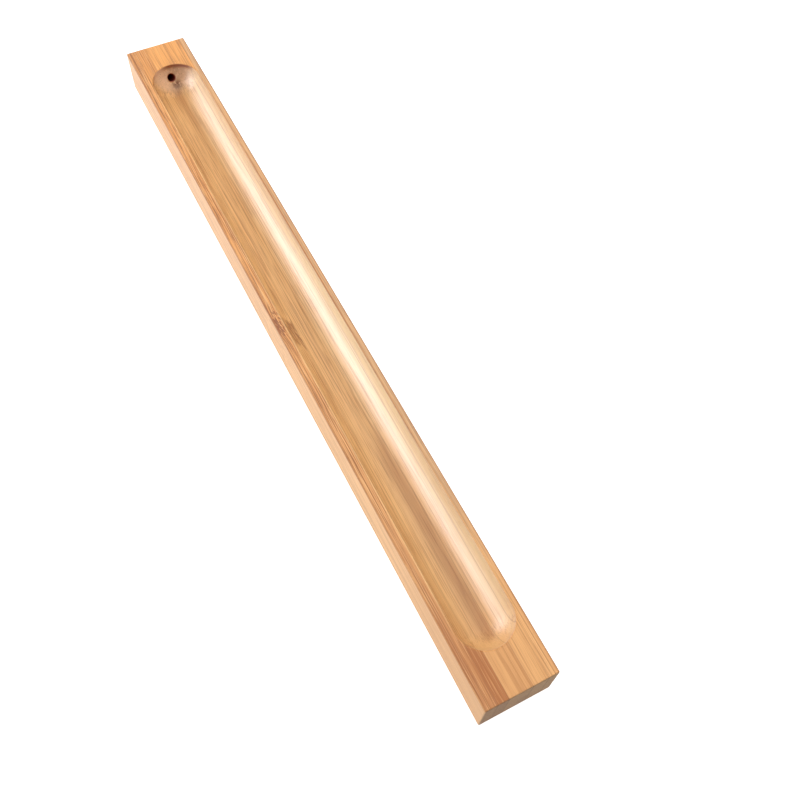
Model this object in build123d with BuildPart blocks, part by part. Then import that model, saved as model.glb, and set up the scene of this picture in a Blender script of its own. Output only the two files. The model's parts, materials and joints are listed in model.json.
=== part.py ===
"""Incense stick holder of laminated bamboo.

Five bamboo strips stand on edge and are glued face to face into one bar. A half-round trough with
ball ends is milled along the top to catch the ash, and a slanting hole in the trough's end wall
holds the stick so that it leans over the trough. The bar lies along X with the stick hole at the
-X end, stands on Z = 0, and has its origin at the centre of its underside.
"""

import os

from build123d import *

# Driving dimensions, in millimetres and degrees
bar_length = 240.0
bar_height = 14.0
edge_round = 0.4  # sanded edges of the bar

left_outer_width = 3.4
left_inner_width = 3.0
centre_width = 6.4
right_inner_width = 4.2
right_outer_width = 3.0

left_land = 2.8  # flat top between the trough and the bar's left side
right_land = 1.8  # flat top between the trough and the bar's right side
end_land = 11.3  # flat top between the trough and each end of the bar
rim_round = 0.25  # sanded rim of the trough

stick_hole_diameter = 2.6
stick_hole_depth = 10.0  # from the trough's wall, along the hole
stick_lean = 32.0  # slope of the stick above the table

# The strips side by side, from the left (-Y) to the right, make up the bar's width
strip_widths = {
    "left_outer_strip": left_outer_width,
    "left_inner_strip": left_inner_width,
    "centre_strip": centre_width,
    "right_inner_strip": right_inner_width,
    "right_outer_strip": right_outer_width,
}
bar_width = sum(strip_widths.values())

# The trough is as deep as its radius, and its ball ends have the same radius. Its uneven lands put
# it off the bar's middle, to the right.
trough_radius = (bar_width - left_land - right_land) / 2
trough_offset = (left_land - right_land) / 2
trough_run = bar_length - 2 * (end_land + trough_radius)

# The stick's line passes through the centre of the ball end, so its hole is square to the wall
stick_end_ball = (-trough_run / 2, trough_offset, bar_height)
stick_direction = Vector(1, 0, 0).rotate(Axis.Y, -stick_lean)
stick_plane = Plane(origin=stick_end_ball, z_dir=stick_direction)

os.makedirs("parts", exist_ok=True)

# The bar as glued up, sanded, milled and drilled
with BuildPart() as bar:
    Box(bar_length, bar_width, bar_height, align=(Align.CENTER, Align.CENTER, Align.MIN))
    fillet(bar.edges(), radius=edge_round)

    with Locations((0, trough_offset, bar_height)):
        Cylinder(trough_radius, trough_run, rotation=(0, 90, 0), mode=Mode.SUBTRACT)
        with GridLocations(trough_run, 0, 2, 1):
            Sphere(trough_radius, mode=Mode.SUBTRACT)
    top_face = bar.faces().filter_by(Axis.Z).sort_by(Axis.Z)[-1]
    fillet(top_face.inner_wires().edges(), radius=rim_round)

    with Locations(stick_plane):
        Hole(stick_hole_diameter / 2, depth=trough_radius + stick_hole_depth)

# Each strip is the slice of that bar between its two glue faces
left_face = -bar_width / 2
for strip_name, strip_width in strip_widths.items():
    with BuildPart() as strip:
        add(bar.part)
        with Locations((0, left_face + strip_width / 2, bar_height / 2)):
            Box(bar_length, strip_width, bar_height, mode=Mode.INTERSECT)
    strip.part.label = strip_name
    export_step(strip.part, f"parts/{strip_name}.step")
    left_face += strip_width
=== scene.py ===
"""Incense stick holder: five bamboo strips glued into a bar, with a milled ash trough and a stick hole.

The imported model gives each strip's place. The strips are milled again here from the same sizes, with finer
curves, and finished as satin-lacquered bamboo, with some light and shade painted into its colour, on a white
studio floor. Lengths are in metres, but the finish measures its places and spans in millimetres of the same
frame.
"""

import json
from math import atan2, pi, radians

import bpy
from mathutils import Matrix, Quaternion, Vector


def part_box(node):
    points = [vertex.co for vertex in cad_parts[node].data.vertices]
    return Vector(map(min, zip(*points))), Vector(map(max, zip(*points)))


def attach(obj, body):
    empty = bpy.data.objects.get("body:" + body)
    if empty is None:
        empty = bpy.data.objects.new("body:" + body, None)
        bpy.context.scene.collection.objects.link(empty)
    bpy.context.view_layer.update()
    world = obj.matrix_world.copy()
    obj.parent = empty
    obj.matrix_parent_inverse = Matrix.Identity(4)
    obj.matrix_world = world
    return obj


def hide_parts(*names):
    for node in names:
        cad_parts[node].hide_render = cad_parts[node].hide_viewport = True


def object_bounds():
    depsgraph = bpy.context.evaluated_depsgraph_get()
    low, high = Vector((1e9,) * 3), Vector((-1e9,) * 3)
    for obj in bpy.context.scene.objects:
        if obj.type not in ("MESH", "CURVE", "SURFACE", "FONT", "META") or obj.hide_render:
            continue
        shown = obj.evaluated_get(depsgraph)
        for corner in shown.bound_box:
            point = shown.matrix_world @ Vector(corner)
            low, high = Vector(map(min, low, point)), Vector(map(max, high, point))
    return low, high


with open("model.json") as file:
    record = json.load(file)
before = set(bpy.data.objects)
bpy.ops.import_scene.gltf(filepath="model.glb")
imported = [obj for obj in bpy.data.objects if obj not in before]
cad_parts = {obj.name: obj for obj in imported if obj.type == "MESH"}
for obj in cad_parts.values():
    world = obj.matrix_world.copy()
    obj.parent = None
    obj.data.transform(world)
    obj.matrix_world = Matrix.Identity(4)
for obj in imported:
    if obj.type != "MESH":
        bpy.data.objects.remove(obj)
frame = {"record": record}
cad_low, cad_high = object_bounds()

bl_info = {
    "name": "Bamboo Incense Stick Holder",
    "version": (1, 0, 0),
    "blender": (4, 5, 0),
    "location": "View3D > Sidebar > Incense Holder",
    "description": "Mills and finishes the bamboo strips of an incense stick holder and sets up a stage",
    "category": "Object",
}

MM = 0.001
WHITE = (1.0, 1.0, 1.0)
MOUNTS = {mount["name"]: mount for mount in frame["record"]["mounts"]}
STICK_HOLE = MOUNTS["stick_hole"]

# Strips from the left to the right: the side that faced the culm's skin, how dark the strip is along its
# length and at the plain end, how strong its fibre lines are, a number that makes its grain its own, and how
# strongly the culm's node shows in it
STRIPS = {
    "left_outer_strip": dict(skin="left", near=0.31, far=0.80, fibre=1.25, grain=3.0, node=1.0),
    "left_inner_strip": dict(skin="right", near=0.38, far=1.00, fibre=0.80, grain=11.0, node=1.0),
    "centre_strip": dict(skin="right", near=0.06, far=0.32, fibre=0.60, grain=23.0, node=0.0),
    "right_inner_strip": dict(skin="left", near=0.08, far=0.12, fibre=0.55, grain=37.0, node=0.0),
    "right_outer_strip": dict(skin="right", near=0.05, far=0.12, fibre=0.75, grain=51.0, node=0.0),
}
DRILLED_STRIP = "centre_strip"


# Properties

def length_setting(name, description, default):
    return bpy.props.FloatProperty(
        name=name, description=description, default=default, unit="LENGTH", precision=5)


def power_setting(name, description, default):
    return bpy.props.FloatProperty(name=name, description=description, default=default, unit="POWER", min=0.0)


def colour_setting(name, description, default):
    return bpy.props.FloatVectorProperty(
        name=name, description=description, default=default, subtype="COLOR", min=0.0, max=1.0)


class BarSizes(bpy.types.PropertyGroup):
    """Sizes of the milled bar."""

    bar_length: length_setting("Bar Length", "Length of the glued bar", cad_high.x - cad_low.x)
    bar_width: length_setting("Bar Width", "Width of the glued bar", cad_high.y - cad_low.y)
    bar_height: length_setting("Bar Height", "Height of the glued bar", cad_high.z - cad_low.z)
    edge_round: length_setting("Edge Round", "Radius of the bar's sanded edges", 0.4 * MM)
    left_land: length_setting("Left Land", "Flat top between the trough and the left side", 2.8 * MM)
    right_land: length_setting("Right Land", "Flat top between the trough and the right side", 1.8 * MM)
    end_land: length_setting("End Land", "Flat top between the trough and each end", 11.3 * MM)
    rim_round: length_setting("Rim Round", "Radius of the trough's sanded rim", 0.25 * MM)
    hole_radius: length_setting("Hole Radius", "Radius of the stick hole", STICK_HOLE["dims"]["r_mm"] * MM)
    hole_depth: length_setting(
        "Hole Depth", "Depth of the stick hole along its axis", STICK_HOLE["dims"]["length_mm"] * MM)
    mouth_break: length_setting("Mouth Break", "Width of the broken edge round the hole's mouth", 0.18 * MM)


class BambooFinish(bpy.types.PropertyGroup):
    """Colours of the lacquered bamboo, and of the light, shade and sheen painted on it."""

    pith_colour: colour_setting("Pith Side", "Colour on the strip's pale inner side", (0.86, 0.385, 0.098))
    pale_colour: colour_setting(
        "Pale End", "Colour that the pith side fades to at the plain end", (0.86, 0.450, 0.165))
    skin_colour: colour_setting("Skin Side", "Colour on the strip's dense outer side", (0.47, 0.160, 0.036))
    # The fibre colour also darkens the upper edges: partly dark fibre, partly painted shade on the right edge
    fibre_colour: colour_setting(
        "Fibre Lines", "Colour of the dark fibres and of the bar's upper edges", (0.36, 0.125, 0.030))
    fleck_colour: colour_setting("Flecks", "Colour of the pale flecks between the fibres", (0.96, 0.54, 0.21))
    glue_colour: colour_setting("Glue Lines", "Colour of the glue lines", (0.30, 0.120, 0.040))
    node_colour: colour_setting("Node Mark", "Colour of the culm's node", (0.26, 0.070, 0.015))
    # Paler tone in the trough: partly the milled wood's own tone, partly painted fill light on the trough's
    # shade
    milled_tone_and_fill_colour: colour_setting(
        "Milled Trough", "Colour that the lacquer gives the milled trough", (0.79, 0.497, 0.200))
    # Painted sheen: a pale band up the trough's right wall in place of the lacquer's reflection
    painted_sheen_colour: colour_setting(
        "Right Wall", "Colour of the pale wood up the trough's right wall", (0.97, 0.78, 0.44))
    # Partly the cut fibres' own tone, partly painted light on the ball end by the hole
    cut_tone_and_light_colour: colour_setting(
        "Cut Fibres", "Colour where the trough's end by the hole cuts the fibres", (0.86, 0.570, 0.380))
    sawn_colour: colour_setting("Sawn Ends", "Colour of the bar's sawn ends", (0.250, 0.160, 0.088))
    sawn_glue_colour: colour_setting(
        "Sawn Glue", "Colour of the glue lines on the sawn ends", (0.10, 0.050, 0.025))
    bundle_colour: colour_setting(
        "Fibre Bundles", "Colour of the fibre bundles that are cut across", (0.15, 0.060, 0.022))
    # Painted reflection: the sides paler and greyer towards the hole end
    painted_side_reflection_colour: colour_setting("Painted Side Reflection", "Colour of the sides towards the hole end", (0.86, 0.620, 0.420))
    # Painted light: the left side lighter towards the plain end
    painted_left_light_colour: colour_setting("Painted Left Light", "Colour of the pale wood on the left", (0.95, 0.59, 0.19))
    # Painted light on the left rim, where its steep wall is in shade
    painted_rim_light_colour: colour_setting("Sanded Rim", "Colour of the sanded rim on the left", (0.98, 0.66, 0.32))
    # A paler, greyer tone on the right land, except near the plain end
    right_land_colour: colour_setting(
        "Right Land", "Colour of the weathered land on the right", (0.55, 0.41, 0.26))
    # Dark rim, and painted shade under the rim by the hole and low in the trough
    dark_rim_and_shade_colour: colour_setting(
        "Dark Rim", "Colour of the dark and scorched rim and of the ash stain", (0.34, 0.092, 0.012))
    # Painted highlight: a pale crescent on the right of the hole's mouth
    painted_mouth_light_colour: colour_setting("Bare Ring", "Colour of the bare ring round the hole", (0.86, 0.62, 0.42))
    # Colour of the soot and resin round the hole; its two broad spots are partly painted shade on the ball
    # end
    soot_and_shade_colour: colour_setting("Soot And Shade", "Colour of the soot and resin round the hole", (0.16, 0.045, 0.015))
    burnt_colour: colour_setting("Burnt Hole", "Colour of the burnt inside of the hole", (0.40, 0.074, 0.054))


class StageSettings(bpy.types.PropertyGroup):
    """Floor, room and lights."""

    floor_colour: colour_setting("Floor", "Colour of the studio floor", (0.50, 0.50, 0.495))
    floor_glow: bpy.props.FloatProperty(
        name="Floor Glow", description="White light that the backlit floor gives off", default=0.88, min=0.0)
    room_light: bpy.props.FloatProperty(
        name="Room Light", description="Strength of the white room's light", default=0.26, min=0.0)
    top_light: power_setting("Top Light", "Power of the soft light overhead", 3.42)
    right_light: power_setting("Right Light", "Power of the soft light on the right", 1.35)
    left_light: power_setting("Left Light", "Power of the soft light on the left", 3.8)
    left_sheen: power_setting("Left Sheen", "Power of the card that the lacquer reflects", 22.5)
    sheen_colour: colour_setting("Sheen Colour", "Colour of the reflected card", (0.84, 0.88, 1.0))


# Node helpers

def add(tree, kind, inputs=None, **settings):
    """A new node with its settings, and each input set to a value or linked from a socket."""
    made = tree.nodes.new(kind)
    for name, value in settings.items():
        setattr(made, name, value)
    for socket, value in (inputs or {}).items():
        if isinstance(value, bpy.types.NodeSocket):
            tree.links.new(value, made.inputs[socket])
        else:
            made.inputs[socket].default_value = value
    return made


def calc(tree, operation, *values, clamp=False):
    inputs = dict(enumerate(values))
    return add(tree, "ShaderNodeMath", inputs, operation=operation, use_clamp=clamp).outputs[0]


def times(tree, *values):
    """The product of all values."""
    product, *others = values
    for value in others:
        product = calc(tree, "MULTIPLY", product, value)
    return product


def largest(tree, *values):
    most, *others = values
    for value in others:
        most = calc(tree, "MAXIMUM", most, value)
    return most


def vector_calc(tree, operation, *values):
    return add(tree, "ShaderNodeVectorMath", dict(enumerate(values)), operation=operation).outputs[0]


def scaled(tree, vector, factor):
    return add(tree, "ShaderNodeVectorMath", {0: vector, "Scale": factor}, operation="SCALE").outputs[0]


def length_of(tree, vector):
    return add(tree, "ShaderNodeVectorMath", {0: vector}, operation="LENGTH").outputs["Value"]


def dot_of(tree, first, second):
    return add(tree, "ShaderNodeVectorMath", {0: first, 1: second}, operation="DOT_PRODUCT").outputs["Value"]


def joined(tree, x, y, z):
    return add(tree, "ShaderNodeCombineXYZ", {0: x, 1: y, 2: z}).outputs[0]


def parted(tree, vector):
    return add(tree, "ShaderNodeSeparateXYZ", {0: vector}).outputs


MASK_RANGE = (0.0, 1.0)


def rise(tree, value, span, low=0.0, high=1.0):
    """Low before the span, high after it, and a smooth climb in between."""
    limits = {"Value": value, "From Min": span[0], "From Max": span[1], "To Min": low, "To Max": high}
    return add(tree, "ShaderNodeMapRange", limits, interpolation_type="SMOOTHSTEP").outputs[0]


def fall(tree, value, span, high=1.0, low=0.0):
    """High before the span, low after it, and a smooth descent in between."""
    return rise(tree, value, span, high, low)


def chosen(tree, switch, first, second):
    """First where switch is 0, second where it is 1."""
    return add(tree, "ShaderNodeMix", {0: switch, 2: first, 3: second}).outputs[0]


def opaque(colour):
    """A colour with full alpha. A socket stays as it is."""
    return colour if isinstance(colour, bpy.types.NodeSocket) else (*colour, 1.0)


def coloured(tree, amount, first, second):
    """The first colour, covered by the second one by an amount from 0 to 1."""
    mixed = {0: amount, 6: opaque(first), 7: opaque(second)}
    return add(tree, "ShaderNodeMix", mixed, data_type="RGBA").outputs[2]


def new_group(name, kind, inputs, outputs):
    """An empty node group, its input sockets and its output node's sockets."""
    tree = bpy.data.node_groups.new(name, kind)
    for direction, sockets in (("INPUT", inputs), ("OUTPUT", outputs)):
        for socket, socket_type in sockets.items():
            tree.interface.new_socket(socket, in_out=direction, socket_type="NodeSocket" + socket_type)
    return tree, tree.nodes.new("NodeGroupInput").outputs, tree.nodes.new("NodeGroupOutput").inputs


def mask_group(name, inputs, *masks):
    """An empty shader group that takes a place and more inputs, and puts out masks."""
    return new_group(name, "ShaderNodeTree", {"Place": "Vector", **inputs}, {mask: "Float" for mask in masks})


def closed(tree, result, outputs):
    """The group with its outputs linked."""
    for name, socket in outputs.items():
        tree.links.new(socket, result[name])
    return tree


def use_group(tree, group, inputs):
    kind = "ShaderNodeGroup" if group.bl_idname == "ShaderNodeTree" else "GeometryNodeGroup"
    return add(tree, kind, inputs, node_tree=group).outputs


# Shape of the strips

EDGE_STEPS = 6
TROUGH_CORNER_STEPS = 40
TROUGH_ARC_STEPS = 56
HOLE_SIDES = 64
SMOOTH_ANGLE = radians(30)
MERGE_DISTANCE = 0.001 * MM
QUARTER_TURN = pi / 2
MIDDLE_CORNER = 1.5  # between the corners 0 to 3
ONE_FACE = 1.0
COUNT_TOLERANCE = 0.1
ARC_SIZES = ("Distance", "Height", "Radius", "Start", "Sweep")


def round_sweep_group():
    """Two arcs, one after the other, swept round a rectangle's corners.

    With no half width the rectangle shrinks to a line, and the sweep is a trough with ball ends.
    """
    arcs = [f"{arc} {size}" for arc in ("First", "Second") for size in ARC_SIZES]
    inputs = {name: "Float" for name in ("Half Length", "Half Width", *arcs)}
    inputs.update({"Corner Steps": "Int", "Arc Steps": "Int"})
    tree, given, result = new_group("round_sweep", "GeometryNodeTree", inputs, {"Mesh": "Geometry"})

    corner_points = calc(tree, "ADD", given["Corner Steps"], 1)
    arc_points = calc(tree, "ADD", given["Arc Steps"], 1)
    ring_points = times(tree, corner_points, 4)
    profile_points = times(tree, arc_points, 2)
    grid = add(tree, "GeometryNodeMeshGrid", {
        "Vertices X": calc(tree, "ADD", ring_points, 1), "Vertices Y": profile_points}).outputs[0]

    # Each grid point's step round the ring, and the corner that this step belongs to
    index = add(tree, "GeometryNodeInputIndex").outputs[0]
    row = calc(tree, "FLOOR", calc(tree, "DIVIDE", index, profile_points))
    ring_step = calc(tree, "MODULO", row, ring_points)
    corner = calc(tree, "FLOOR", calc(tree, "DIVIDE", ring_step, corner_points))
    turns = calc(tree, "DIVIDE", calc(tree, "SUBTRACT", ring_step, corner), given["Corner Steps"])
    heading = times(tree, turns, QUARTER_TURN)
    from_middle_corner = calc(tree, "ABSOLUTE", calc(tree, "SUBTRACT", corner, MIDDLE_CORNER))
    side_x = calc(tree, "SIGN", calc(tree, "SUBTRACT", from_middle_corner, 1.0))
    side_y = calc(tree, "SIGN", calc(tree, "SUBTRACT", MIDDLE_CORNER, corner))

    # Its step along the profile, and its place on the arc that this step belongs to
    profile_step = calc(tree, "MODULO", index, profile_points)
    second = calc(tree, "GREATER_THAN", profile_step, given["Arc Steps"])
    arc_step = calc(tree, "SUBTRACT", profile_step, times(tree, second, arc_points))
    share = calc(tree, "DIVIDE", arc_step, given["Arc Steps"])
    distance, height, radius, start, sweep = (
        chosen(tree, second, given[f"First {size}"], given[f"Second {size}"]) for size in ARC_SIZES)
    angle = calc(tree, "MULTIPLY_ADD", share, sweep, start)
    out = calc(tree, "MULTIPLY_ADD", radius, calc(tree, "COSINE", angle), distance)
    up = calc(tree, "MULTIPLY_ADD", radius, calc(tree, "SINE", angle), height)

    corner_x = times(tree, side_x, given["Half Length"])
    corner_y = times(tree, side_y, given["Half Width"])
    x = calc(tree, "MULTIPLY_ADD", out, calc(tree, "COSINE", heading), corner_x)
    y = calc(tree, "MULTIPLY_ADD", out, calc(tree, "SINE", heading), corner_y)
    swept = add(tree, "GeometryNodeSetPosition", {"Geometry": grid, "Position": joined(tree, x, y, up)})
    return closed(tree, result, {"Mesh": swept.outputs[0]})


def together(tree, *meshes):
    """The meshes as one, with touching points merged."""
    join = add(tree, "GeometryNodeJoinGeometry")
    for mesh in meshes:
        tree.links.new(mesh, join.inputs[0])
    merged = {"Geometry": join.outputs[0], "Distance": MERGE_DISTANCE}
    return add(tree, "GeometryNodeMergeByDistance", merged).outputs[0]


def flipped(tree, mesh):
    return add(tree, "GeometryNodeFlipFaces", {0: mesh}).outputs[0]


def moved(tree, mesh, shift, **turn):
    """The mesh moved by a vector, and turned by a Rotation where one is given."""
    return add(tree, "GeometryNodeTransform", {"Geometry": mesh, "Translation": shift, **turn}).outputs[0]


def combined(tree, operation, meshes, inputs=None):
    """What the meshes share, or the mesh in the input Mesh 1 less the meshes."""
    made = add(tree, "GeometryNodeMeshBoolean", inputs, operation=operation, solver="EXACT")
    for mesh in meshes:
        tree.links.new(mesh, made.inputs["Mesh 2"])
    return made.outputs[0]


def flat_between_edges(tree, mesh, upper, height):
    """A flat face that closes the mesh's open edges in its upper or its lower half."""
    neighbours = add(tree, "GeometryNodeInputMeshEdgeNeighbors").outputs[0]
    open_edge = calc(tree, "COMPARE", neighbours, ONE_FACE, COUNT_TOLERANCE)
    level = parted(tree, add(tree, "GeometryNodeInputPosition").outputs[0])["Z"]
    half = calc(tree, "GREATER_THAN", level, times(tree, height, 0.5))
    if not upper:
        half = calc(tree, "SUBTRACT", 1.0, half)
    border = add(tree, "GeometryNodeMeshToCurve", {"Mesh": mesh, "Selection": times(tree, open_edge, half)})
    filled = add(tree, "GeometryNodeFillCurve", {"Curve": border.outputs[0]}).outputs[0]
    return moved(tree, filled, joined(tree, 0, 0, height)) if upper else flipped(tree, filled)


def milled_bar(tree, given):
    """The sanded bar with its trough and the trough's rounded rim, as one closed mesh."""
    sweep = round_sweep_group()
    height, edge, trough, rim = (
        given[name] for name in ("Height", "Edge Round", "Trough Radius", "Rim Round"))
    half_length, half_width = (
        calc(tree, "SUBTRACT", times(tree, given[name], 0.5), edge)
        for name in ("Length", "Width"))
    body = use_group(tree, sweep, {
        "Half Length": half_length, "Half Width": half_width,
        "First Height": calc(tree, "SUBTRACT", height, edge), "First Radius": edge,
        "First Start": QUARTER_TURN, "First Sweep": -QUARTER_TURN,
        "Second Height": edge, "Second Radius": edge, "Second Start": 0.0, "Second Sweep": -QUARTER_TURN,
        "Corner Steps": EDGE_STEPS, "Arc Steps": EDGE_STEPS})["Mesh"]

    # The rim's round touches the flat top and the trough's wall
    rim_reach = calc(tree, "ADD", trough, rim)
    rim_lean = calc(tree, "ARCSINE", calc(tree, "DIVIDE", rim, rim_reach))
    rim_turn = calc(tree, "SUBTRACT", QUARTER_TURN, rim_lean)
    milling = use_group(tree, sweep, {
        "Half Length": times(tree, given["Trough Run"], 0.5), "Half Width": 0.0,
        "First Distance": times(tree, rim_reach, calc(tree, "COSINE", rim_lean)),
        "First Height": calc(tree, "SUBTRACT", height, rim), "First Radius": rim,
        "First Start": QUARTER_TURN, "First Sweep": rim_turn,
        "Second Height": height, "Second Radius": trough,
        "Second Start": times(tree, rim_lean, -1),
        "Second Sweep": times(tree, rim_turn, -1),
        "Corner Steps": TROUGH_CORNER_STEPS, "Arc Steps": TROUGH_ARC_STEPS})["Mesh"]
    milling = moved(tree, milling, joined(tree, 0, given["Trough Offset"], 0))

    walls = together(tree, flipped(tree, body), milling)
    top, bottom = (flat_between_edges(tree, walls, upper, height) for upper in (True, False))
    return together(tree, walls, top, bottom)


def strip_slab(tree, given):
    """A slab between the strip's two faces that reaches far past the bar's ends, top and bottom."""
    width = calc(tree, "SUBTRACT", given["Right Face"], given["Left Face"])
    middle = calc(tree, "MULTIPLY_ADD", width, 0.5, given["Left Face"])
    overlong = times(tree, given["Length"], 2)
    slab = add(tree, "GeometryNodeMeshCube", {"Size": joined(tree, overlong, width, overlong)}).outputs[0]
    return moved(tree, slab, joined(tree, 0, middle, 0))


def hole_tools(tree, given):
    """The drill, half in and half out of the hole's mouth, and the cone that breaks the mouth's edge."""
    radius, mouth_break = given["Hole Radius"], given["Mouth Break"]
    drill = add(tree, "GeometryNodeMeshCylinder", {
        "Vertices": HOLE_SIDES, "Radius": radius, "Depth": times(tree, given["Hole Depth"], 2)})
    cone_height = times(tree, radius, 2)
    cone = add(tree, "GeometryNodeMeshCone", {
        "Vertices": HOLE_SIDES, "Depth": cone_height, "Radius Bottom": mouth_break,
        "Radius Top": calc(tree, "ADD", cone_height, mouth_break)})
    cone_below = moved(tree, cone.outputs[0], joined(tree, 0, 0, times(tree, radius, -1)))
    lean = joined(tree, 0, given["Hole Lean"], 0)
    return [
        moved(tree, tool, given["Hole Mouth"], Rotation=lean) for tool in (drill.outputs[0], cone_below)]


def strip_tree():
    """One strip: the slice of the milled bar between its two faces, drilled where it holds the stick."""
    sizes = (
        "Length", "Width", "Height", "Edge Round", "Trough Radius", "Trough Run", "Trough Offset",
        "Rim Round", "Left Face", "Right Face", "Hole Radius", "Hole Depth", "Mouth Break", "Hole Lean")
    inputs = {name: "Float" for name in sizes}
    inputs.update({"Hole Mouth": "Vector", "Drilled": "Bool", "Finish": "Material"})
    tree, given, result = new_group("bamboo_strip", "GeometryNodeTree", inputs, {"Mesh": "Geometry"})

    slice_of_bar = combined(tree, "INTERSECT", (milled_bar(tree, given), strip_slab(tree, given)))
    bored = combined(tree, "DIFFERENCE", hole_tools(tree, given), {"Mesh 1": slice_of_bar})
    strip = add(tree, "GeometryNodeSwitch", {0: given["Drilled"], 1: slice_of_bar, 2: bored},
                input_type="GEOMETRY").outputs[0]

    edge_angle = add(tree, "GeometryNodeInputMeshEdgeAngle").outputs[0]
    gentle = calc(tree, "LESS_THAN", edge_angle, SMOOTH_ANGLE)
    for domain, smooth in (("FACE", True), ("EDGE", gentle)):
        strip = add(tree, "GeometryNodeSetShadeSmooth", {"Geometry": strip, "Shade Smooth": smooth},
                    domain=domain).outputs[0]
    plain = add(tree, "GeometryNodeRealizeInstances", {0: strip}).outputs[0]
    finished = add(tree, "GeometryNodeSetMaterial", {"Geometry": plain, "Material": given["Finish"]})
    return closed(tree, result, {"Mesh": finished.outputs[0]})


# Grain of the bamboo, with spans and places in millimetres

GLUE_LINE = (0.02, 0.16)

# Each pattern of fibres: its size along, across and up, a shift that sets it apart from the others, the
# levels of noise between which it comes in, and how far it stands out in the relief
FIBRE_PATTERNS = {
    "Streaks": dict(size=(40.0, 0.30, 0.6), shift=9.0, levels=(0.52, 0.62), relief=-0.7),
    "Hairs": dict(size=(12.0, 0.23, 0.3), shift=15.0, levels=(0.50, 0.61), relief=-0.4),
    "Flecks": dict(size=(16.0, 0.34, 0.4), shift=21.0, levels=(0.53, 0.63), relief=0.5),
}
BAND_SIZE = (110.0, 0.9, 3.0)
FIBRE_DETAIL = 2.0
FIBRE_ROUGHNESS = 0.55

# The culm's node, measured from its middle: where it begins and ends along the bar, its dashes, and the dark
# line along its left edge. It stops short of the bar's left side.
NODE_MIDDLE = (2.6, -6.85, 10.8)
NODE_SLANT = -0.2
NODE_START = (-9.0, 0.0)
NODE_END = (3.0, 9.0)
NODE_DASH_SIZE = (4.0, 0.40, 0.5)
NODE_DASH_SIDEWAYS = -0.22
NODE_DASH_UPWARDS = 0.26
NODE_DASH_LEVELS = (0.44, 0.54)
NODE_DASH_LOSS = 0.3
NODE_LINE_EDGE = (-2.80, -2.55)
NODE_LINE_START = (-20.0, -8.0)
NODE_LINE_END = (1.0, 6.0)
NODE_LEFT_SIDE = (-3.12, -2.95)
NODE_PUSH = 0.5

# Fibres cut across: how far the surface turns towards the bar's ends, how their colour is lost towards the
# plain end, the depth of the sawn ends' colour, and the size and edge of the cut bundles
CUT_STEEPNESS = (0.25, 0.85)
# Their colour, fading towards the plain end, is partly their own tone and partly painted light by the hole
CUT_RUN = (-60.0, 60.0)
CUT_PLAIN_END_SHARE = 0.06
SAWN_DEPTH = (0.02, 0.30)
BUNDLE_SIZE = (6.0, 0.40, 0.40)
BUNDLE_EDGE = (0.15, 0.5)


def across_group():
    """Where a point lies from its strip's pith side to its skin side, and how close to a glue face."""
    tree, given, result = mask_group(
        "across_strip", {"Pith Face": "Float", "Skin Face": "Float"}, "Across", "Glue")
    y = parted(tree, given["Place"])["Y"]
    from_pith = calc(tree, "SUBTRACT", y, given["Pith Face"])
    from_skin = calc(tree, "SUBTRACT", y, given["Skin Face"])
    width = calc(tree, "SUBTRACT", given["Skin Face"], given["Pith Face"])
    nearest = calc(tree, "MINIMUM", calc(tree, "ABSOLUTE", from_pith), calc(tree, "ABSOLUTE", from_skin))
    return closed(tree, result, {
        "Across": calc(tree, "DIVIDE", from_pith, width, clamp=True), "Glue": fall(tree, nearest, GLUE_LINE)})


def fibre_group():
    """Lengthwise fibres: slow tone bands, dark broken streaks, thin hairs, pale flecks and their relief."""
    tree, given, result = mask_group(
        "bamboo_fibres", {"Grain": "Float"}, "Bands", *FIBRE_PATTERNS, "Relief")

    def noise(size, shift):
        place = vector_calc(tree, "DIVIDE", given["Place"], size)
        return add(tree, "ShaderNodeTexNoise", {
            "Vector": place, "Scale": 1.0, "Detail": FIBRE_DETAIL, "Roughness": FIBRE_ROUGHNESS,
            "W": calc(tree, "ADD", given["Grain"], shift)}, noise_dimensions="4D").outputs[0]

    outputs = {"Bands": noise(BAND_SIZE, 0.0)}
    relief = 0.0
    for name, pattern in FIBRE_PATTERNS.items():
        outputs[name] = rise(tree, noise(pattern["size"], pattern["shift"]), pattern["levels"])
        relief = calc(tree, "MULTIPLY_ADD", outputs[name], pattern["relief"], relief)
    return closed(tree, result, {**outputs, "Relief": relief})


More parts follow.
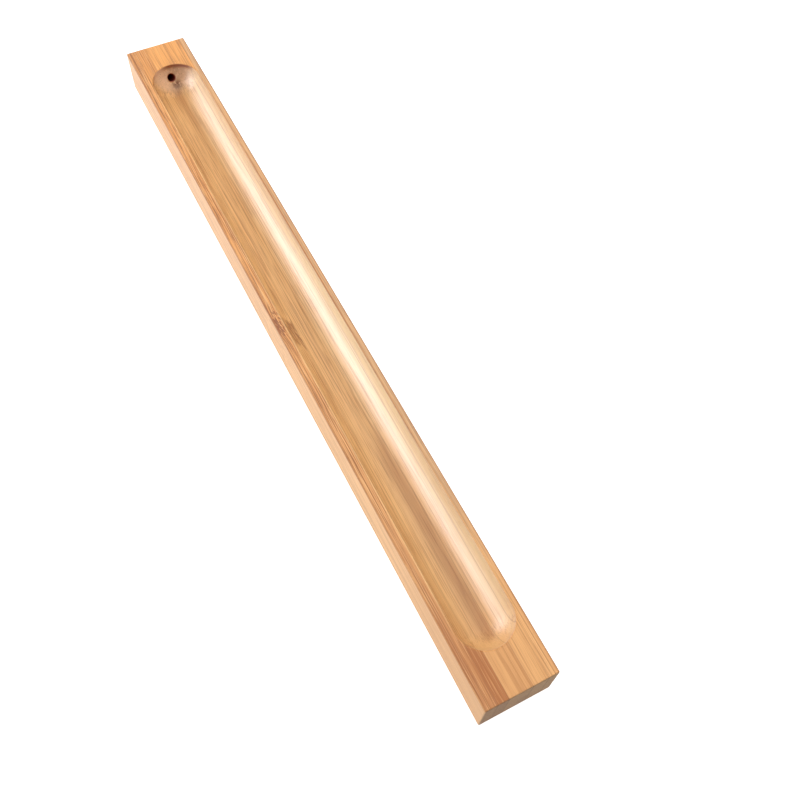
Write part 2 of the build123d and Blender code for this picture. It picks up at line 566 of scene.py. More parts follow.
def culm_node_group():
    """The culm's node: slanting dark dashes with a line beside them, and how far it pushes the fibres."""
    tree, given, result = new_group(
        "culm_node", "ShaderNodeTree",
        {"Place": "Vector", "Middle": "Vector", "Grain": "Float"}, {"Mark": "Float", "Push": "Vector"})
    x, y, z = parted(tree, vector_calc(tree, "SUBTRACT", given["Place"], given["Middle"]))
    slanted = calc(tree, "MULTIPLY_ADD", y, NODE_SLANT, x)
    window = times(tree, rise(tree, slanted, NODE_START), fall(tree, slanted, NODE_END))

    dash_y = calc(tree, "MULTIPLY_ADD", x, NODE_DASH_SIDEWAYS, y)
    dash_z = calc(tree, "MULTIPLY_ADD", x, NODE_DASH_UPWARDS, z)
    dash_place = vector_calc(tree, "DIVIDE", joined(tree, x, dash_y, dash_z), NODE_DASH_SIZE)
    noise = add(tree, "ShaderNodeTexNoise", {
        "Vector": dash_place, "Scale": 1.0, "Detail": FIBRE_DETAIL, "W": given["Grain"]},
        noise_dimensions="4D").outputs[0]
    outside = calc(tree, "MULTIPLY_ADD", window, NODE_DASH_LOSS, -NODE_DASH_LOSS)
    dashes = rise(tree, calc(tree, "ADD", noise, outside), NODE_DASH_LEVELS)
    line = times(
        tree, fall(tree, y, NODE_LINE_EDGE), rise(tree, x, NODE_LINE_START), fall(tree, x, NODE_LINE_END))
    return closed(tree, result, {
        "Mark": times(tree, rise(tree, y, NODE_LEFT_SIDE), largest(tree, dashes, line)),
        "Push": joined(tree, 0.0, times(tree, window, NODE_PUSH), 0.0)})


def end_grain_group():
    """Fibres cut across: how steeply, masks for the trough's and the bar's ends, and the bundles as dots."""
    tree, given, result = mask_group(
        "end_grain", {"Normal": "Vector", "Grain": "Float", "Half Length": "Float"},
        "Steep", "Cut", "Sawn", "Dots")
    x = parted(tree, given["Place"])["X"]
    steep = rise(tree, calc(tree, "ABSOLUTE", parted(tree, given["Normal"])["X"]), CUT_STEEPNESS)
    cut = times(tree, fall(tree, x, CUT_RUN, low=CUT_PLAIN_END_SHARE), steep)
    inwards = calc(tree, "SUBTRACT", given["Half Length"], calc(tree, "ABSOLUTE", x))
    bundle_place = vector_calc(tree, "DIVIDE", given["Place"], BUNDLE_SIZE)
    bundles = add(tree, "ShaderNodeTexVoronoi", {"Vector": bundle_place, "Scale": 1.0, "W": given["Grain"]},
                  voronoi_dimensions="4D", feature="F1").outputs["Distance"]
    return closed(tree, result, {
        "Steep": steep, "Cut": cut, "Sawn": fall(tree, inwards, SAWN_DEPTH),
        "Dots": fall(tree, bundles, BUNDLE_EDGE)})


# Traces of the work, and painted light and shade, with spans in millimetres

# Runs, ends and halves lie along the bar, depths below its top, lines and edges round an edge, spans from the
# left across the trough, and those named for the rim outwards from it. A share is what is left of a trace.
RIM_CREST = 0.1
RIM_LINE = (0.08, 0.32)
RIM_LINE_OUT = 0.08
RIM_LINE_DOWN = 0.05
RIM_LINE_DEPTH_SHARE = 0.5
RIM_FROM_LEFT = (-6.0, 0.0)
RIM_LEFT_SHARE = 0.05
RIM_TO_ENDS = (35.0, 95.0)
RIM_ENDS_SHARE = 0.25
RIM_TO_PLAIN_HALF = (0.0, 25.0)
RIM_PLAIN_HALF_SHARE = 0.6
# Upper edges' dark line: partly dark fibre, partly painted shade on the right edge, facing away from the
# light
ARRIS_LINE = (0.15, 0.55)
LEFT_ARRIS_RUN = (50.0, 100.0)
LEFT_ARRIS_SHARES = (0.85, 0.5)
# Painted shade: a dark crescent on the steep wall under the rim by the hole
RIM_SHADE_RUN = (-5.5, -3.0)
RIM_SHADE_DEPTH = (0.4, 1.9)
RIM_SHADE_FROM_RIM = (-0.05, 0.12)
RIM_SHADE_FROM_LEFT = (-4.0, 0.5)
RIM_SHADE_LEFT_SHARE = 0.1
MILLED_RIM = (-0.4, 0.0)
MILLED_DEPTH = (0.3, 1.5)

# Painted light and another tone: a painted sheen on the foot and the upper part of the trough's right wall,
# painted light on the left rim and the left side, painted reflection on the sides, and the right land's tone
WALL_FOOT = (0.6, 2.0)
WALL_FOOT_SHARE = 0.3
WALL_FOOT_END = (30.0, 60.0)
WALL_UPPER = (3.6, 6.6)
WALL_UPPER_RUN = (-50.0, -5.0)
WALL_UPPER_SHARES = (0.7, 1.1)
WALL_TO_BALL = (94.0, 105.0)
WALL_BALL_SHARE = 0.6
WALL_RIM = (-0.12, 0.02)
# Painted light on the left rim
PAINTED_LIGHT_RIM_SIDE = (-6.0, -4.0)
PAINTED_LIGHT_RIM_TO_ENDS = (90.0, 104.0)
PAINTED_LIGHT_RIM_ENDS_SHARE = 0.2
# A paler, greyer tone on the right land
RIGHT_LAND_EDGE = (7.6, 8.0)
RIGHT_LAND_DEPTH = (0.4, 0.9)
RIGHT_LAND_END = (60.0, 105.0)
# Painted reflection on the sides, strongest at the hole end
SIDES_EDGE = (0.05, 0.40)
SIDES_RUN = (-110.0, 110.0)
# Painted light on the left side, stronger towards the plain end
LEFT_SIDE_EDGE = (0.02, 0.30)
LEFT_SIDE_RUN = (-90.0, 70.0)
LEFT_SIDE_SHARES = (0.55, 0.95)

BAR_INPUTS = {name: "Float" for name in ("Half Run", "Offset", "Radius", "Height", "Half Width")}


def trough_place(tree, given):
    """A point's place along the bar, across from the trough's middle, below the top and out from the rim."""
    x, y, z = parted(tree, given["Place"])
    across = calc(tree, "SUBTRACT", y, given["Offset"])
    below = calc(tree, "SUBTRACT", given["Height"], z)
    past_run = calc(tree, "SUBTRACT", calc(tree, "ABSOLUTE", x), given["Half Run"])
    from_middle = length_of(tree, joined(tree, calc(tree, "MAXIMUM", past_run, 0.0), across, 0.0))
    from_wall = calc(tree, "SUBTRACT", from_middle, given["Radius"])
    return x, across, below, calc(tree, "SUBTRACT", from_wall, RIM_CREST)


def near_edge(tree, sideways, down, span):
    """How close a point is to an edge that lies that far to its side and above it."""
    return fall(tree, length_of(tree, joined(tree, sideways, down, 0.0)), span)


def rim_line(tree, below, from_rim):
    sideways = calc(tree, "SUBTRACT", from_rim, RIM_LINE_OUT)
    down = calc(tree, "MULTIPLY_ADD", below, RIM_LINE_DEPTH_SHARE, -RIM_LINE_DOWN)
    return near_edge(tree, sideways, down, RIM_LINE)


def worked_and_shaded_edge_group():
    """The dark rim and upper edges, painted shade by the hole's rim, all bare edges, and the milled trough.
    """
    tree, given, result = mask_group(
        "worked_and_shaded_edges", BAR_INPUTS, "Rim", "Arris", "Painted Rim Shade", "Bare", "Milled")
    x, across, below, from_rim = trough_place(tree, given)
    y = parted(tree, given["Place"])["Y"]

    rim = rim_line(tree, below, from_rim)
    dark_rim = times(
        tree, rim, rise(tree, across, RIM_FROM_LEFT, low=RIM_LEFT_SHARE),
        fall(tree, calc(tree, "ABSOLUTE", x), RIM_TO_ENDS, low=RIM_ENDS_SHARE),
        fall(tree, x, RIM_TO_PLAIN_HALF, low=RIM_PLAIN_HALF_SHARE))

    from_side = calc(tree, "SUBTRACT", given["Half Width"], calc(tree, "ABSOLUTE", y))
    # Partly dark fibre, partly painted shade on the right edge, which faces away from the light
    arris = near_edge(tree, from_side, below, ARRIS_LINE)
    on_right = calc(tree, "GREATER_THAN", y, 0.0)
    left_share = fall(tree, x, LEFT_ARRIS_RUN, *LEFT_ARRIS_SHARES)
    dark_arris = times(tree, arris, chosen(tree, on_right, left_share, 1.0))

    # Painted shade on the steep wall under the rim by the hole
    from_run_end = calc(tree, "ADD", x, given["Half Run"])
    painted_rim_shade = times(
        tree, fall(tree, from_run_end, RIM_SHADE_RUN), fall(tree, below, RIM_SHADE_DEPTH),
        fall(tree, from_rim, RIM_SHADE_FROM_RIM), rise(tree, across, RIM_SHADE_FROM_LEFT, low=RIM_SHADE_LEFT_SHARE))
    milled = times(tree, fall(tree, from_rim, MILLED_RIM), rise(tree, below, MILLED_DEPTH))
    return closed(tree, result, {
        "Rim": dark_rim, "Arris": dark_arris, "Painted Rim Shade": painted_rim_shade, "Bare": largest(tree, rim, arris, painted_rim_shade),
        "Milled": milled})


def painted_light_and_tone_group():
    """Painted sheen, light and reflection on the right wall, left rim and sides, and the right land's tone.
    """
    tree, given, result = mask_group(
        "painted_light_and_tone", BAR_INPUTS, "Painted Sheen", "Painted Light", "Right Land", "Painted Side Reflection", "Painted Left Light")
    x, across, below, from_rim = trough_place(tree, given)
    y = parted(tree, given["Place"])["Y"]

    # Painted sheen on the right wall: a faint foot low down, fading before the plain end, and the upper part
    foot = times(tree, rise(tree, across, WALL_FOOT, high=WALL_FOOT_SHARE), fall(tree, x, WALL_FOOT_END))
    upper = times(
        tree, rise(tree, across, WALL_UPPER), rise(tree, x, WALL_UPPER_RUN, *WALL_UPPER_SHARES),
        fall(tree, x, WALL_TO_BALL, low=WALL_BALL_SHARE))
    # Painted light on the left rim, where its steep wall is in shade
    sanded = times(
        tree, rim_line(tree, below, from_rim), fall(tree, across, PAINTED_LIGHT_RIM_SIDE),
        fall(tree, calc(tree, "ABSOLUTE", x), PAINTED_LIGHT_RIM_TO_ENDS, low=PAINTED_LIGHT_RIM_ENDS_SHARE))
    # A paler, greyer tone on the right land, except near the plain end
    right_land = times(
        tree, rise(tree, across, RIGHT_LAND_EDGE), fall(tree, below, RIGHT_LAND_DEPTH),
        fall(tree, x, RIGHT_LAND_END))
    from_side = calc(tree, "SUBTRACT", given["Half Width"], calc(tree, "ABSOLUTE", y))
    from_left = calc(tree, "ADD", given["Half Width"], y)
    return closed(tree, result, {
        "Painted Sheen": times(tree, calc(tree, "ADD", foot, upper), fall(tree, from_rim, WALL_RIM)),
        "Painted Light": sanded, "Right Land": right_land,
        # Painted reflection on the sides towards the hole end
        "Painted Side Reflection": times(tree, fall(tree, from_side, SIDES_EDGE), fall(tree, x, SIDES_RUN)),
        # Painted light on the left side towards the plain end
        "Painted Left Light": times(
            tree, fall(tree, from_left, LEFT_SIDE_EDGE), rise(tree, x, LEFT_SIDE_RUN, *LEFT_SIDE_SHARES))})


# Traces of use, and painted light and shade, with spans and places in millimetres

# The stick hole, measured out from its bore, up from its bottom, out of its mouth or to the mouth's right
BURNT_BORE = (0.03, 0.12)
BURNT_BOTTOM = (-0.6, -0.2)
# Painted highlight: a pale crescent on the right of the mouth
RING_INSIDE = (0.08, 0.20)
RING_OUTSIDE = (0.25, 0.7)
RING_DEPTH = (-2.5, -1.5)
RING_RIGHT = (-0.4, 1.0)

# Painted shade and soot: the middle and reach of each spot, how it fades over its reach, and its specks
SOOT_AND_SHADE_SPOTS = {
    # The first two spots are partly soot and partly painted shade on the ball end; the smudge is soot
    "soot_and_shade_haze": {"Middle": (-105.0, 1.0, 8.0), "Reach": 3.6},
    "soot_and_shade_smoke": {"Middle": (-108.6, 2.9, 11.0), "Reach": 6.0},
    "smudge": {"Middle": (-105.9, 1.6, 8.2), "Reach": 2.3},
}
SPOT_FADE_SHARES = (0.1, 1.0)
SPECK_SCALE = 1.3
SPECK_DETAIL = 3.0
SPECK_LEVELS = (0.30, 0.52)

# Painted trough shade: its depth below the top, its limits across the trough, and where it comes in along the
# bar
TROUGH_SHADE_DEPTH = (5.6, 7.3)
TROUGH_SHADE_FROM_LEFT = (-2.0, 0.8)
TROUGH_SHADE_PLAIN_END = (36.0, 56.0)
TROUGH_SHADE_PLAIN_END_RIGHT = (1.4, 3.0)
TROUGH_SHADE_HOLE_END = (-102.0, -62.0)
TROUGH_SHADE_HOLE_END_RIGHT = (0.8, 2.2)
TROUGH_SHADE_HOLE_END_SHARE = 0.8


def stick_hole_group():
    """The burnt inside of the stick hole, and a painted highlight on the right of the ring round its mouth.
    """
    tree, given, result = mask_group(
        "stick_hole", {"Mouth": "Vector", "Axis": "Vector", "Radius": "Float", "Depth": "Float"},
        "Burnt", "Painted Mouth Light")
    away = vector_calc(tree, "SUBTRACT", given["Place"], given["Mouth"])
    from_axis = length_of(tree, vector_calc(tree, "CROSS_PRODUCT", away, given["Axis"]))
    from_bore = calc(tree, "SUBTRACT", from_axis, given["Radius"])
    outwards = dot_of(tree, away, given["Axis"])
    from_bottom = calc(tree, "ADD", outwards, given["Depth"])
    return closed(tree, result, {
        "Burnt": times(tree, fall(tree, from_bore, BURNT_BORE), rise(tree, from_bottom, BURNT_BOTTOM)),
        "Painted Mouth Light": times(
            tree, rise(tree, from_bore, RING_INSIDE), fall(tree, from_bore, RING_OUTSIDE),
            rise(tree, outwards, RING_DEPTH), rise(tree, parted(tree, away)["Y"], RING_RIGHT))})


def soot_and_shade_group():
    """Dark specks round a point: soot and resin, and painted shade in the broad spots."""
    tree, given, result = mask_group("soot_and_shade_spot", {"Middle": "Vector", "Reach": "Float"}, "Soot And Shade")
    far = length_of(tree, vector_calc(tree, "SUBTRACT", given["Place"], given["Middle"]))
    fade = fall(tree, calc(tree, "DIVIDE", far, given["Reach"]), SPOT_FADE_SHARES)
    noise = add(tree, "ShaderNodeTexNoise", {
        "Vector": given["Place"], "Scale": SPECK_SCALE, "Detail": SPECK_DETAIL}).outputs[0]
    return closed(tree, result, {"Soot And Shade": times(tree, fade, rise(tree, noise, SPECK_LEVELS))})


def painted_trough_shade_group():
    """Painted shade: a brown darkening low in the trough, towards its two ends."""
    tree, given, result = mask_group("painted_trough_shade", {"Offset": "Float", "Height": "Float"}, "Painted Trough Shade")
    x, y, z = parted(tree, given["Place"])
    across = calc(tree, "SUBTRACT", y, given["Offset"])
    below = calc(tree, "SUBTRACT", given["Height"], z)
    plain_end = times(tree, rise(tree, x, TROUGH_SHADE_PLAIN_END), fall(tree, across, TROUGH_SHADE_PLAIN_END_RIGHT))
    hole_end = times(
        tree, fall(tree, x, TROUGH_SHADE_HOLE_END, high=TROUGH_SHADE_HOLE_END_SHARE),
        fall(tree, across, TROUGH_SHADE_HOLE_END_RIGHT))
    return closed(tree, result, {"Painted Trough Shade": times(
        tree, rise(tree, below, TROUGH_SHADE_DEPTH), rise(tree, across, TROUGH_SHADE_FROM_LEFT),
        largest(tree, plain_end, hole_end))})


# Finish of one strip

FINISH_GROUPS = {
    "across_strip": across_group, "bamboo_fibres": fibre_group, "culm_node": culm_node_group,
    "end_grain": end_grain_group, "worked_and_shaded_edges": worked_and_shaded_edge_group, "painted_light_and_tone": painted_light_and_tone_group,
    "stick_hole": stick_hole_group, "soot_and_shade_spot": soot_and_shade_group, "painted_trough_shade": painted_trough_shade_group}

# How the tone changes along the bar and across the strip, and how the fibre lines fade
TONE_RUN = (60.0, 112.0)
PALE_RUN = (-60.0, 100.0)
BAND_SHARE = 0.9
SKIN_SIDE_SHARES = (0.5, 1.0)
SKIN_DARKENING = 0.08
LINES_RUN = (30.0, 110.0)
LINES_PLAIN_END_SHARE = 0.6
LINES_CUT_SHARE = 0.3
# Fibre lines also fade under the painted sheen on the right wall
LINES_WALL_LOSS = 0.45

# How far each layer of colour covers the ones before it
# Some layers are painted light and shade: the sheen on the right wall, the light on the left rim and left
# side, the reflection on the sides, the highlight at the hole's mouth, and the shade low in the trough and by
# the hole's rim. The trough's tone, the cut fibres, the upper edges and the soot spots are partly painted.
COVER_SHARES = {
    "milled": 0.60, "wall": 0.64, "streaks": 0.95, "hairs": 0.68, "flecks": 0.55, "glue": 0.36, "node": 0.82,
    "stain": 0.42, "cut": 0.80, "sawn": 0.82, "sawn_glue": 0.50, "bundles": 0.38, "sides": 0.24,
    "left_side": 0.32, "sanded": 0.50, "right_land": 0.38, "rim": 0.70, "arris": 0.75, "painted_rim_shade": 0.92,
    "ring": 0.55, "soot_and_shade_haze": 0.30, "soot_and_shade_smoke": 0.30, "smudge": 0.80, "burnt": 0.97}

# Matte lands, a satin trough under its lacquer, and bare wood where the edges and the cut fibres are worn
LAND_ROUGHNESS = 0.78
TROUGH_ROUGHNESS = 0.50
STREAK_ROUGHNESS = 0.10
WORN_ROUGHNESS = 0.45
COAT_ROUGHNESS = 0.48
SPECULAR_LEVEL = 0.8
WORN_CUT = (0.45, 1.0)
RELIEF_STRENGTH = 0.5
RELIEF_HEIGHT = 0.04 * MM


def strip_marks(tree, strip, faces, sizes):
    """The finish's shared groups, each built once, placed in a strip's material with the strip's values."""
    coordinates = add(tree, "ShaderNodeTexCoord").outputs
    place = scaled(tree, coordinates["Object"], 1 / MM)
    left, right = (face / MM for face in faces)
    pith, skin = (left, right) if strip["skin"] == "right" else (right, left)
    radius, offset, run = (size / MM for size in trough_sizes(sizes))
    length, width, height = (size / MM for size in (sizes.bar_length, sizes.bar_width, sizes.bar_height))
    bar = {
        "Half Run": run / 2, "Offset": offset, "Radius": radius, "Height": height, "Half Width": width / 2}

    def mark(name, values, at=place):
        group = bpy.data.node_groups.get(name) or FINISH_GROUPS[name]()
        return use_group(tree, group, {"Place": at, **values})

    node = mark("culm_node", {"Middle": NODE_MIDDLE, "Grain": strip["grain"]})
    pushed = vector_calc(tree, "ADD", place, scaled(tree, node["Push"], strip["node"]))
    return {
        "along": parted(tree, place)["X"],
        "node": node,
        "across": mark("across_strip", {"Pith Face": pith, "Skin Face": skin}),
        "fibres": mark("bamboo_fibres", {"Grain": strip["grain"]}, at=pushed),
        "ends": mark("end_grain", {
            "Normal": coordinates["Normal"], "Grain": strip["grain"], "Half Length": length / 2}),
        "edges": mark("worked_and_shaded_edges", bar),
        "tones": mark("painted_light_and_tone", bar),
        "hole": mark("stick_hole", {
            "Mouth": Vector(STICK_HOLE["pos_m"]) / MM, "Axis": STICK_HOLE["axis"],
            "Radius": sizes.hole_radius / MM, "Depth": sizes.hole_depth / MM}),
        # Painted shade low in the trough
        "stain": mark("painted_trough_shade", {"Offset": offset, "Height": height}),
        # Soot round the hole, partly painted shade
        **{name: mark("soot_and_shade_spot", spot) for name, spot in SOOT_AND_SHADE_SPOTS.items()}}


def strip_colour(tree, strip, marks, colours):
    """The strip's tone from pith side to skin side, covered by its grain, traces and painted light and shade.
    """
    along, node, across, fibres, ends, edges, tones, hole = (
        marks[name] for name in ("along", "node", "across", "fibres", "ends", "edges", "tones", "hole"))
    bands = calc(tree, "MULTIPLY_ADD", fibres["Bands"], BAND_SHARE, -BAND_SHARE / 2)
    tone = rise(tree, along, TONE_RUN, strip["near"], strip["far"])
    tone = calc(tree, "MULTIPLY_ADD", bands, strip["fibre"], tone)
    skin = rise(tree, across["Across"], SKIN_SIDE_SHARES, high=SKIN_DARKENING)
    pith_side = coloured(tree, rise(tree, along, PALE_RUN), colours.pith_colour, colours.pale_colour)
    colour = coloured(tree, calc(tree, "ADD", tone, skin, clamp=True), pith_side, colours.skin_colour)

    lines = times(
        tree, fall(tree, along, LINES_RUN, strip["fibre"], LINES_PLAIN_END_SHARE * strip["fibre"]),
        fall(tree, ends["Steep"], MASK_RANGE, low=LINES_CUT_SHARE),
        calc(tree, "MULTIPLY_ADD", tones["Painted Sheen"], -LINES_WALL_LOSS, 1.0))
    cut_across = largest(tree, ends["Cut"], ends["Sawn"])
    layers = {
        # Paler trough tone: partly milled wood, partly painted fill light
        "milled": (edges["Milled"], colours.milled_tone_and_fill_colour),
        # Painted sheen up the trough's right wall
        "wall": (tones["Painted Sheen"], colours.painted_sheen_colour),
        "streaks": (times(tree, fibres["Streaks"], lines), colours.fibre_colour),
        "hairs": (times(tree, fibres["Hairs"], lines), colours.fibre_colour),
        "flecks": (times(tree, fibres["Flecks"], lines), colours.fleck_colour),
        "glue": (across["Glue"], colours.glue_colour),
        "node": (times(tree, node["Mark"], strip["node"]), colours.node_colour),
        # Painted shade low in the trough, towards its ends
        "stain": (marks["stain"]["Painted Trough Shade"], colours.dark_rim_and_shade_colour),
        # Cut fibres: partly their own tone, partly painted light by the hole
        "cut": (ends["Cut"], colours.cut_tone_and_light_colour),
        "sawn": (ends["Sawn"], colours.sawn_colour),
        "sawn_glue": (times(tree, ends["Sawn"], across["Glue"]), colours.sawn_glue_colour),
        "bundles": (times(tree, ends["Dots"], cut_across), colours.bundle_colour),
        # Painted reflection on the sides towards the hole end
        "sides": (tones["Painted Side Reflection"], colours.painted_side_reflection_colour),
        # Painted light on the left side towards the plain end
        "left_side": (tones["Painted Left Light"], colours.painted_left_light_colour),
        # Painted light on the left rim
        "sanded": (tones["Painted Light"], colours.painted_rim_light_colour),
        # A paler, greyer tone on the right land
        "right_land": (tones["Right Land"], colours.right_land_colour),
        "rim": (edges["Rim"], colours.dark_rim_and_shade_colour),
        # Upper edges: partly dark fibre, partly painted shade
        "arris": (edges["Arris"], colours.fibre_colour),
        # Painted shade under the rim by the hole
        "painted_rim_shade": (edges["Painted Rim Shade"], colours.dark_rim_and_shade_colour),
        # Painted highlight on the right of the hole's mouth
        "ring": (hole["Painted Mouth Light"], colours.painted_mouth_light_colour),
        # Soot round the hole, partly painted shade
        **{spot: (marks[spot]["Soot And Shade"], colours.soot_and_shade_colour) for spot in SOOT_AND_SHADE_SPOTS},
        "burnt": (hole["Burnt"], colours.burnt_colour)}
    for layer, (mask, tint) in layers.items():
        colour = coloured(tree, times(tree, mask, COVER_SHARES[layer]), colour, tint)
    return colour


def lacquer(tree, shader, marks):
    """The strip's roughness, its relief, and the coat of lacquer that is left in the trough."""
    fibres, ends, edges = (marks[name] for name in ("fibres", "ends", "edges"))
    worn = largest(tree, edges["Bare"], rise(tree, ends["Cut"], WORN_CUT))
    ground = fall(tree, edges["Milled"], MASK_RANGE, LAND_ROUGHNESS, TROUGH_ROUGHNESS)
    dull = calc(tree, "MULTIPLY_ADD", fibres["Streaks"], STREAK_ROUGHNESS, ground)
    dull = calc(tree, "MULTIPLY_ADD", worn, WORN_ROUGHNESS, dull)
    tree.links.new(largest(tree, dull, ends["Sawn"]), shader.inputs["Roughness"])

    relief = add(tree, "ShaderNodeBump", {
        "Height": fibres["Relief"], "Strength": RELIEF_STRENGTH, "Distance": RELIEF_HEIGHT})
    tree.links.new(relief.outputs[0], shader.inputs["Normal"])

    kept = calc(tree, "SUBTRACT", 1.0, largest(tree, worn, marks["hole"]["Burnt"]))
    tree.links.new(times(tree, edges["Milled"], kept), shader.inputs["Coat Weight"])
    shader.inputs["Coat Roughness"].default_value = COAT_ROUGHNESS
    shader.inputs["Specular IOR Level"].default_value = SPECULAR_LEVEL


def bamboo_finish(name, faces, sizes, colours):
    """Satin-lacquered bamboo for one strip, between its left and right faces."""
    material = bpy.data.materials.new("bamboo_" + name)
    material.use_nodes = True
    tree = material.node_tree
    shader = tree.nodes["Principled BSDF"]
    marks = strip_marks(tree, STRIPS[name], faces, sizes)
    tree.links.new(strip_colour(tree, STRIPS[name], marks, colours), shader.inputs["Base Color"])
    lacquer(tree, shader, marks)
    return material


# Pieces

# An outer strip keeps the bar's own rounded side, so its slab reaches past that side
SLAB_SPARE = 2.0 * MM
FACE_TOLERANCE = 0.01 * MM


def trough_sizes(sizes):
    """Radius of the trough and its ball ends, its offset from the bar's middle, and its straight run."""
    radius = (sizes.bar_width - sizes.left_land - sizes.right_land) / 2
    offset = (sizes.left_land - sizes.right_land) / 2
    return radius, offset, sizes.bar_length - 2 * (sizes.end_land + radius)


def strip_values(sizes, faces, drilled, finish):
    """A value for each input of the strip's tree."""
    left, right = faces
    radius, offset, run = trough_sizes(sizes)
    hole_axis = Vector(STICK_HOLE["axis"])
    return {
        "Length": sizes.bar_length, "Width": sizes.bar_width, "Height": sizes.bar_height,
        "Edge Round": sizes.edge_round, "Trough Radius": radius, "Trough Run": run, "Trough Offset": offset,
        "Rim Round": sizes.rim_round,
        "Left Face": left - SLAB_SPARE if left <= cad_low.y + FACE_TOLERANCE else left,
        "Right Face": right + SLAB_SPARE if right >= cad_high.y - FACE_TOLERANCE else right,
        "Hole Radius": sizes.hole_radius, "Hole Depth": sizes.hole_depth, "Mouth Break": sizes.mouth_break,
        "Hole Lean": atan2(hole_axis.x, hole_axis.z), "Hole Mouth": STICK_HOLE["pos_m"], "Drilled": drilled,
        "Finish": finish}


def make_strip(context, name, drilled):
    """Mills one strip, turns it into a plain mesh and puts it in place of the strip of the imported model."""
    sizes = context.scene.holder_bar
    low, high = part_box(name)
    faces = low.y, high.y
    finish = bamboo_finish(name, faces, sizes, context.scene.holder_bamboo)
    values = strip_values(sizes, faces, drilled, finish)

    tree = bpy.data.node_groups.get("bamboo_strip") or strip_tree()
    rough = bpy.data.objects.new(name + "_milling", bpy.data.meshes.new(name + "_milling"))
    context.scene.collection.objects.link(rough)
    milling = rough.modifiers.new("Milling", "NODES")
    milling.node_group = tree
    for socket in tree.interface.items_tree:
        if socket.in_out == "INPUT":
            milling[socket.identifier] = values[socket.name]
    flats = rough.modifiers.new("Flats", "WEIGHTED_NORMAL")
    flats.keep_sharp = True
    mesh = bpy.data.meshes.new_from_object(rough.evaluated_get(context.evaluated_depsgraph_get()))
    mesh.name = "bamboo_" + name
    bpy.data.objects.remove(rough)

    piece = bpy.data.objects.new("bamboo_" + name, mesh)
    context.scene.collection.objects.link(piece)
    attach(piece, "root")
    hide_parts(name)


class HOLDER_OT_side_strips(bpy.types.Operator):
    """Mill the four strips on either side of the drilled one"""

    bl_idname = "holder.side_strips"
    bl_label = "Side Strips"
    bl_options = {"REGISTER", "UNDO"}

    def execute(self, context):
        for name in STRIPS:
            if name != DRILLED_STRIP:
                make_strip(context, name, drilled=False)
        return {"FINISHED"}


class HOLDER_OT_centre_strip(bpy.types.Operator):
    """Mill the centre strip and drill its slanting stick hole"""

    bl_idname = "holder.centre_strip"
    bl_label = "Centre Strip"
    bl_options = {"REGISTER", "UNDO"}

    def execute(self, context):
        make_strip(context, DRILLED_STRIP, drilled=True)
        return {"FINISHED"}


# Stage, in metres

FLOOR_REACH_SHARE = 20  # of the bar's length
FLOOR_GAP = 0.02 * MM
FLOOR_ROUGHNESS = 0.9

TOP_LIGHT_PLACE = Vector((0.05, 0.0, 0.80))
TOP_LIGHT_SIZE = (0.90, 0.90)
RIGHT_LIGHT_PLACE = Vector((-0.12, 0.40, 0.47))
RIGHT_LIGHT_SIZE = (0.50, 0.35)
LEFT_LIGHT_PLACE = Vector((-0.42, -0.60, 0.46))
LEFT_LIGHT_SIZE = (0.65, 0.36)
LEFT_SHEEN_PLACE = Vector((-0.26, -0.62, 0.225))
LEFT_SHEEN_SIZE = (0.70, 0.48)

# The camera as fitted to the photograph, with its lens and sensor in millimetres
CAMERA_PLACE = Vector((147.65, -55.47, 228.31)) * MM
CAMERA_AIM = Vector((39.69, 10.30, 14.0)) * MM
CAMERA_ROLL = radians(-4.506)
CAMERA_LENS = 42.05
CAMERA_SENSOR = 36.0
CAMERA_CLIP = (0.01, 50.0)


def make_floor(context, settings):
    """A white floor just under the bar that glows a little."""
    mesh = bpy.data.meshes.new("studio_floor")
    reach = FLOOR_REACH_SHARE * context.scene.holder_bar.bar_length
    corners = [(-reach, -reach, 0), (reach, -reach, 0), (reach, reach, 0), (-reach, reach, 0)]
    mesh.from_pydata(corners, [], [(0, 1, 2, 3)])
    floor = bpy.data.objects.new("studio_floor", mesh)
    context.scene.collection.objects.link(floor)
    floor.location.z = cad_low.z - FLOOR_GAP
    material = bpy.data.materials.new("studio_white")
    material.use_nodes = True
    shader = material.node_tree.nodes["Principled BSDF"]
    shader.inputs["Base Color"].default_value = (*settings.floor_colour, 1.0)
    shader.inputs["Roughness"].default_value = FLOOR_ROUGHNESS
    shader.inputs["Specular IOR Level"].default_value = 0.0
    shader.inputs["Emission Color"].default_value = (*WHITE, 1.0)
    shader.inputs["Emission Strength"].default_value = settings.floor_glow
    mesh.materials.append(material)


def make_room(context, settings):
    """A white room that is fully bright to the camera and dimmer as light on the bar."""
    world = bpy.data.worlds.new("white_room")
    world.use_nodes = True
    tree = world.node_tree
    background = tree.nodes["Background"]
    background.inputs["Color"].default_value = (*WHITE, 1.0)
    seen = add(tree, "ShaderNodeLightPath").outputs["Is Camera Ray"]
    tree.links.new(chosen(tree, seen, settings.room_light, 1.0), background.inputs["Strength"])
    context.scene.world = world


def make_light(context, name, place, size, power, colour=WHITE, reflected=False):
    """A soft rectangular light aimed at the bar, which either lights it or is reflected in its lacquer."""
    light = bpy.data.lights.new(name, "AREA")
    light.shape = "RECTANGLE"
    light.size, light.size_y = size
    light.energy, light.color = power, colour
    lamp = bpy.data.objects.new(name, light)
    lamp.location = place
    lamp.rotation_mode = "QUATERNION"
    lamp.rotation_quaternion = (-place).to_track_quat("-Z", "Y")
    lamp.visible_diffuse, lamp.visible_glossy = not reflected, reflected
    context.scene.collection.objects.link(lamp)


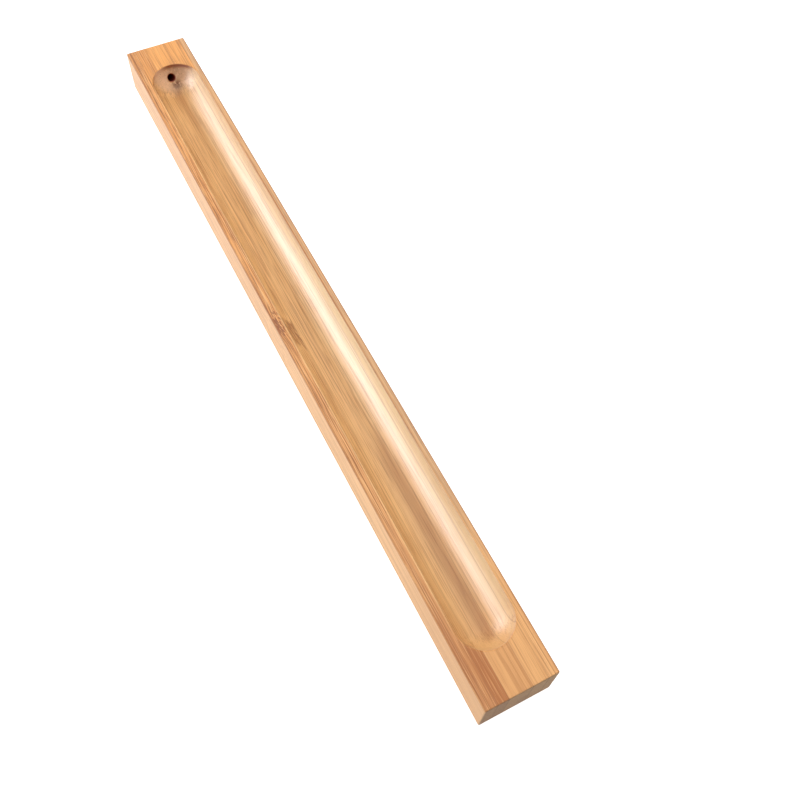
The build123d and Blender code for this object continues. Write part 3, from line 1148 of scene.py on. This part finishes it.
def make_camera(context):
    data = bpy.data.cameras.new("camera")
    data.lens = CAMERA_LENS
    data.sensor_width = CAMERA_SENSOR
    data.clip_start, data.clip_end = CAMERA_CLIP
    camera = bpy.data.objects.new("camera", data)
    camera.location = CAMERA_PLACE
    camera.rotation_mode = "QUATERNION"
    roll = Quaternion((0, 0, 1), -CAMERA_ROLL)
    camera.rotation_quaternion = (CAMERA_AIM - CAMERA_PLACE).to_track_quat("-Z", "Y") @ roll
    context.scene.collection.objects.link(camera)
    context.scene.camera = camera


class HOLDER_OT_stage(bpy.types.Operator):
    """Set up the white floor, the studio light and the camera"""

    bl_idname = "holder.stage"
    bl_label = "Studio Stage"
    bl_options = {"REGISTER", "UNDO"}

    def execute(self, context):
        settings = context.scene.holder_stage
        make_floor(context, settings)
        make_room(context, settings)
        make_light(context, "top_softbox", TOP_LIGHT_PLACE, TOP_LIGHT_SIZE, settings.top_light)
        make_light(context, "right_softbox", RIGHT_LIGHT_PLACE, RIGHT_LIGHT_SIZE, settings.right_light)
        make_light(context, "left_softbox", LEFT_LIGHT_PLACE, LEFT_LIGHT_SIZE, settings.left_light)
        make_light(context, "left_sheen", LEFT_SHEEN_PLACE, LEFT_SHEEN_SIZE, settings.left_sheen,
                   settings.sheen_colour, reflected=True)
        make_camera(context)
        context.scene.view_settings.view_transform = "Standard"
        context.scene.view_settings.look = "None"
        return {"FINISHED"}


class HOLDER_PT_sidebar(bpy.types.Panel):
    """Incense stick holder"""

    bl_idname = "HOLDER_PT_sidebar"
    bl_label = "Incense Stick Holder"
    bl_space_type = "VIEW_3D"
    bl_region_type = "UI"
    bl_category = "Incense Holder"

    def draw(self, context):
        for operator in OPERATORS:
            self.layout.operator(operator.bl_idname)
        for settings in (getattr(context.scene, name) for name in SETTINGS):
            box = self.layout.box()
            for name in settings.__annotations__:
                box.prop(settings, name)


SETTINGS = {"holder_bar": BarSizes, "holder_bamboo": BambooFinish, "holder_stage": StageSettings}
OPERATORS = (HOLDER_OT_side_strips, HOLDER_OT_centre_strip, HOLDER_OT_stage)
CLASSES = (*SETTINGS.values(), *OPERATORS, HOLDER_PT_sidebar)


def register():
    for made in CLASSES:
        bpy.utils.register_class(made)
    for name, group in SETTINGS.items():
        setattr(bpy.types.Scene, name, bpy.props.PointerProperty(type=group))


def unregister():
    for name in SETTINGS:
        delattr(bpy.types.Scene, name)
    for made in reversed(CLASSES):
        bpy.utils.unregister_class(made)


def main():
    register()
    bpy.ops.holder.side_strips()
    bpy.ops.holder.centre_strip()
    bpy.ops.holder.stage()


if __name__ == "__main__":
    main()
